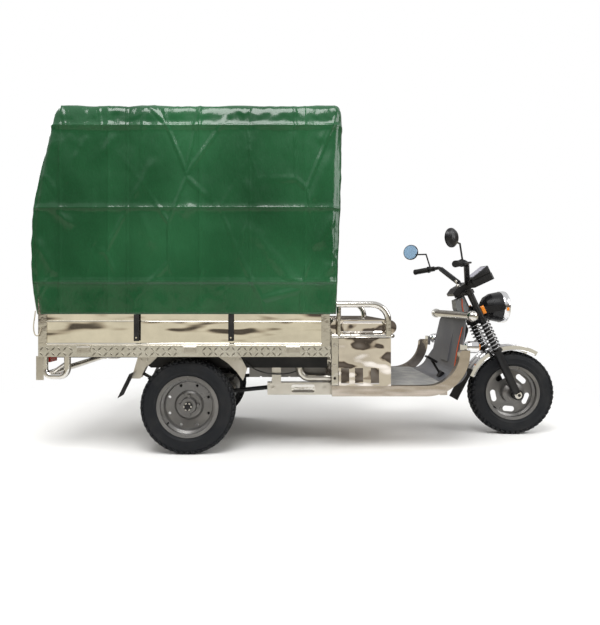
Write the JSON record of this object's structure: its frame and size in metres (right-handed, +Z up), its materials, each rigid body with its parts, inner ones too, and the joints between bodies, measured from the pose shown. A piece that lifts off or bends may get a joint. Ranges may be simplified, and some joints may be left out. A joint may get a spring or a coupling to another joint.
{
  "type": "electric cargo tricycle",
  "caption": "Electric cargo tricycle with a stainless drop-side bed under a tarpaulin canopy, driver's bench, leg shield and raked spring fork.",
  "frame": {"origin": "on the ground under the middle of the bounding box", "axes": "+X forward along the vehicle, +Y to its left, +Z up"},
  "size_m": [2.99, 1.038, 1.86],
  "materials": {
    "bright_steel": "mirror-polished stainless sheet and tube",
    "chequer_steel": "bright chequered plate",
    "plated_steel": "dull plated steel",
    "black_paint": "satin black paint",
    "motor_casting": "cast aluminium",
    "battery_case": "painted sheet",
    "tarpaulin": "glossy coated cloth",
    "black_rubber": "black rubber",
    "grey_rubber": "grey ribbed rubber",
    "shield_paint": "dark blue-grey moulding",
    "grey_plastic": "grey moulding",
    "black_plastic": "black moulding",
    "chrome": "bright chrome",
    "red_lens": "red lens",
    "clear_lens": "clear lens",
    "tyre": "black tyre rubber",
    "wheel_paint": "dark grey paint"
  },
  "bodies": {
    "chassis": {"chassis_rails": "black_paint", "lower_rails": "plated_steel", "bed_floor": "bright_steel", "bed_skirt": "chequer_steel", "side_board_right": "bright_steel", "side_board_left": "bright_steel", "front_board": "bright_steel", "corner_posts": "bright_steel", "board_hinges": "plated_steel", "canopy_frame": "plated_steel", "tarpaulin": "tarpaulin", "tie_straps": "black_rubber", "rear_bumper": "bright_steel", "tail_lamps": "red_lens", "spring_hangers": "plated_steel", "leaf_springs": "black_paint", "rear_axle": "black_paint", "drive_motor": "motor_casting", "torque_rods": "black_paint", "battery_box": "battery_case", "rear_mudflaps": "black_rubber", "floor_frame": "bright_steel", "floor_mat": "grey_rubber", "leg_shield": "shield_paint", "shield_bar": "bright_steel", "side_lamps": "chrome", "head_frame": "black_paint", "column_cover": "grey_plastic", "seat_frame": "bright_steel", "seat_panels": "bright_steel", "seat_bench": "bright_steel", "brake_pedal": "black_paint"},
    "steering": {"fork": "black_paint", "fork_springs": "black_paint", "front_fender": "chrome", "front_mudflap": "black_rubber", "handlebar": "black_paint", "handlebar_cover": "black_plastic", "instrument": "black_plastic", "grips": "black_rubber", "levers": "black_paint", "mirrors": "black_paint", "headlamp": "black_plastic", "headlamp_lens": "clear_lens"},
    "front_wheel": {"front_tyre": "tyre", "front_rim": "wheel_paint"},
    "rear_wheel_right": {"rear_tyre_right": "tyre", "rear_rim_right": "wheel_paint"},
    "rear_wheel_left": {"rear_tyre_left": "tyre", "rear_rim_left": "wheel_paint"},
    "tailgate": {"tailgate": "bright_steel"}
  },
  "joints": [
    {"name": "steer", "type": "hinge", "parent": "chassis", "child": "steering", "pos_m": [0.94, 0, 0.8245], "axis": [-0.4226, 0, 0.9063], "range_deg": [-40, 40]},
    {"name": "front_spin", "type": "hinge", "parent": "steering", "child": "front_wheel", "pos_m": [1.24, 0, 0.255], "axis": [0, 1, 0], "continuous": true},
    {"name": "rear_spin_right", "type": "hinge", "parent": "chassis", "child": "rear_wheel_right", "pos_m": [-0.68, -0.42, 0.255], "axis": [0, 1, 0], "continuous": true},
    {"name": "rear_spin_left", "type": "hinge", "parent": "chassis", "child": "rear_wheel_left", "pos_m": [-0.68, 0.42, 0.255], "axis": [0, 1, 0], "continuous": true},
    {"name": "tailgate_drop", "type": "hinge", "parent": "chassis", "child": "tailgate", "pos_m": [-1.466, 0, 0.593], "axis": [0, -1, 0], "range_deg": [0, 180]}
  ]
}
